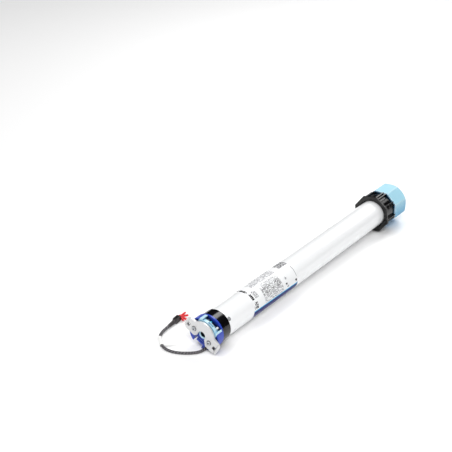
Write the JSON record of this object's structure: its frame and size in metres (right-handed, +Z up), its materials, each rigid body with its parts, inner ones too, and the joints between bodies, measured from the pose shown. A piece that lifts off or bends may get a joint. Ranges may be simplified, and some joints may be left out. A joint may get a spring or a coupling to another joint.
{
  "type": "tubular roller blind motor",
  "caption": "Tubular motor for a roller blind: steel tube, plug-in head with ears and setting buttons, octagonal drive wheel and a loose octagonal adapter ring, with a short cable.",
  "frame": {"origin": "on the motor's axis, at the mouth of the blind centre bore in the head", "axes": "+X along the motor's axis from the head to the drive wheel, +Z up as it lies in the picture, -Y towards the side with the label"},
  "size_m": [0.5809, 0.1156, 0.0642],
  "materials": {
    "blue_nylon": "moulded glass-filled nylon, fine matt",
    "light_nylon": "moulded nylon, satin",
    "die_cast": "die-cast zinc, matt blasted",
    "zinc_screw": "zinc-plated steel",
    "black_nylon": "moulded black nylon, glossy",
    "black_button": "moulded black button",
    "cyan_button": "moulded cyan button",
    "white_tab": "moulded white tab",
    "grey_lens": "moulded grey lens",
    "white_coat": "steel tube, white gloss powder coat",
    "label_film": "printed film, satin",
    "bright_steel": "turned steel",
    "core_steel": "stacked electrical steel sheets",
    "sintered": "sintered bronze",
    "copper_winding": "enamelled copper wire",
    "zinc_cast": "die-cast alloy",
    "board_green": "glass-epoxy board",
    "part_black": "moulded component bodies",
    "carrier_black": "moulded carrier",
    "capacitor_white": "moulded capacitor can",
    "gear_nylon": "moulded gear plastic",
    "gear_steel": "sintered steel gears",
    "friction": "friction lining",
    "black_rubber": "moulded rubber",
    "lead_insulation": "insulated leads",
    "cord_jacket": "flexible cable jacket",
    "red_guard": "soft red plastic",
    "tag_paper": "coated white paper"
  },
  "bodies": {
    "motor": {"head_housing": "blue_nylon", "head_insert": "light_nylon", "head_plate": "die_cast", "head_screws": "zinc_screw", "window_strip": "bright_steel", "status_lens": "grey_lens", "motor_tube": "white_coat", "tube_rivets": "zinc_screw", "gear_end_screws": "zinc_screw", "rating_label": "label_film", "board_carrier": "carrier_black", "circuit_board": "board_green", "board_parts": "part_black", "run_capacitor": "capacitor_white", "inner_leads": "lead_insulation", "gear_case": "zinc_cast", "gear_end_cap": "zinc_cast", "output_bearing": "sintered", "gearbox_cover": "zinc_cast", "rubber_damper": "black_rubber", "front_end_shield": "zinc_cast", "rear_end_shield": "zinc_cast", "shaft_bushes": "sintered", "stator_core": "core_steel", "stator_windings": "copper_winding", "brake_case": "zinc_cast", "brake_friction_ring": "friction", "brake_spring": "bright_steel", "cable_plug": "black_nylon", "cord": "cord_jacket", "cord_connector": "black_nylon", "connector_guard": "red_guard", "cord_tag": "tag_paper"},
    "plus_button": {"plus_button": "cyan_button"},
    "minus_button": {"minus_button": "black_button"},
    "release_tab": {"release_tab": "white_tab"},
    "crown_ring": {"crown_ring": "black_nylon"},
    "adapter_ring": {"adapter_ring": "black_nylon"},
    "brake_plate": {"brake_plate": "bright_steel"},
    "rotor": {"rotor_core": "core_steel", "rotor_shaft": "bright_steel", "sun_gear_1": "gear_steel", "brake_disc": "friction"},
    "stage_1": {"carrier_1": "gear_steel", "sun_gear_2": "gear_steel"},
    "stage_2": {"carrier_2": "gear_steel", "sun_gear_3": "gear_steel"},
    "output": {"carrier_3": "gear_steel", "output_shaft": "bright_steel", "drive_wheel": "light_nylon", "wheel_screw": "zinc_screw"},
    "planet_1_1": {"planet_1_1": "gear_nylon"},
    "planet_1_2": {"planet_1_2": "gear_nylon"},
    "planet_1_3": {"planet_1_3": "gear_nylon"},
    "planet_2_1": {"planet_2_1": "gear_steel"},
    "planet_2_2": {"planet_2_2": "gear_steel"},
    "planet_2_3": {"planet_2_3": "gear_steel"},
    "planet_3_1": {"planet_3_1": "gear_steel"},
    "planet_3_2": {"planet_3_2": "gear_steel"},
    "planet_3_3": {"planet_3_3": "gear_steel"}
  },
  "joints": [
    {"name": "wheel_spin", "type": "hinge", "parent": "motor", "child": "output", "pos_m": [0, 0, 0], "axis": [1, 0, 0], "continuous": true},
    {"name": "stage_2_spin", "type": "hinge", "parent": "motor", "child": "stage_2", "pos_m": [0, 0, 0], "axis": [1, 0, 0], "continuous": true},
    {"name": "stage_1_spin", "type": "hinge", "parent": "motor", "child": "stage_1", "pos_m": [0, 0, 0], "axis": [1, 0, 0], "continuous": true},
    {"name": "rotor_spin", "type": "hinge", "parent": "motor", "child": "rotor", "pos_m": [0, 0, 0], "axis": [1, 0, 0], "continuous": true},
    {"name": "planet_1_1_spin", "type": "hinge", "parent": "stage_1", "child": "planet_1_1", "pos_m": [0, 0.01134, 0], "axis": [1, 0, 0], "continuous": true},
    {"name": "planet_1_2_spin", "type": "hinge", "parent": "stage_1", "child": "planet_1_2", "pos_m": [0, -0.00567, 0.00982], "axis": [1, 0, 0], "continuous": true},
    {"name": "planet_1_3_spin", "type": "hinge", "parent": "stage_1", "child": "planet_1_3", "pos_m": [0, -0.00567, -0.00982], "axis": [1, 0, 0], "continuous": true},
    {"name": "planet_2_1_spin", "type": "hinge", "parent": "stage_2", "child": "planet_2_1", "pos_m": [0, 0.01134, 0], "axis": [1, 0, 0], "continuous": true},
    {"name": "planet_2_2_spin", "type": "hinge", "parent": "stage_2", "child": "planet_2_2", "pos_m": [0, -0.00567, 0.00982], "axis": [1, 0, 0], "continuous": true},
    {"name": "planet_2_3_spin", "type": "hinge", "parent": "stage_2", "child": "planet_2_3", "pos_m": [0, -0.00567, -0.00982], "axis": [1, 0, 0], "continuous": true},
    {"name": "planet_3_1_spin", "type": "hinge", "parent": "output", "child": "planet_3_1", "pos_m": [0, 0.01134, 0], "axis": [1, 0, 0], "continuous": true},
    {"name": "planet_3_2_spin", "type": "hinge", "parent": "output", "child": "planet_3_2", "pos_m": [0, -0.00567, 0.00982], "axis": [1, 0, 0], "continuous": true},
    {"name": "planet_3_3_spin", "type": "hinge", "parent": "output", "child": "planet_3_3", "pos_m": [0, -0.00567, -0.00982], "axis": [1, 0, 0], "continuous": true},
    {"name": "crown_spin", "type": "hinge", "parent": "motor", "child": "crown_ring", "pos_m": [0, 0, 0], "axis": [1, 0, 0], "continuous": true},
    {"name": "adapter_slide", "type": "slide", "parent": "motor", "child": "adapter_ring", "axis": [1, 0, 0], "range_m": [-0.4582, 0]},
    {"name": "plus_press", "type": "slide", "parent": "motor", "child": "plus_button", "axis": [0, 0.4924, -0.8704], "range_m": [0, 0.001], "stiffness_N_per_m": 800, "springref_m": -0.001},
    {"name": "minus_press", "type": "slide", "parent": "motor", "child": "minus_button", "axis": [0, 0.4924, -0.8704], "range_m": [0, 0.001], "stiffness_N_per_m": 800, "springref_m": -0.001},
    {"name": "release_press", "type": "slide", "parent": "motor", "child": "release_tab", "axis": [0, 0.4924, -0.8704], "range_m": [0, 0.001], "stiffness_N_per_m": 1200, "springref_m": -0.001},
    {"name": "brake_lift", "type": "slide", "parent": "motor", "child": "brake_plate", "axis": [-1, 0, 0], "range_m": [0, 0.0005], "stiffness_N_per_m": 20000, "springref_m": -0.001}
  ],
  "couplings": [
    {"joint": "stage_2_spin", "follows": "wheel_spin", "ratio": 4.6667},
    {"joint": "stage_1_spin", "follows": "wheel_spin", "ratio": 21.778},
    {"joint": "rotor_spin", "follows": "wheel_spin", "ratio": 101.63},
    {"joint": "planet_1_1_spin", "follows": "wheel_spin", "ratio": -59.889},
    {"joint": "planet_1_2_spin", "follows": "wheel_spin", "ratio": -59.889},
    {"joint": "planet_1_3_spin", "follows": "wheel_spin", "ratio": -59.889},
    {"joint": "planet_2_1_spin", "follows": "wheel_spin", "ratio": -12.833},
    {"joint": "planet_2_2_spin", "follows": "wheel_spin", "ratio": -12.833},
    {"joint": "planet_2_3_spin", "follows": "wheel_spin", "ratio": -12.833},
    {"joint": "planet_3_1_spin", "follows": "wheel_spin", "ratio": -2.75},
    {"joint": "planet_3_2_spin", "follows": "wheel_spin", "ratio": -2.75},
    {"joint": "planet_3_3_spin", "follows": "wheel_spin", "ratio": -2.75}
  ]
}
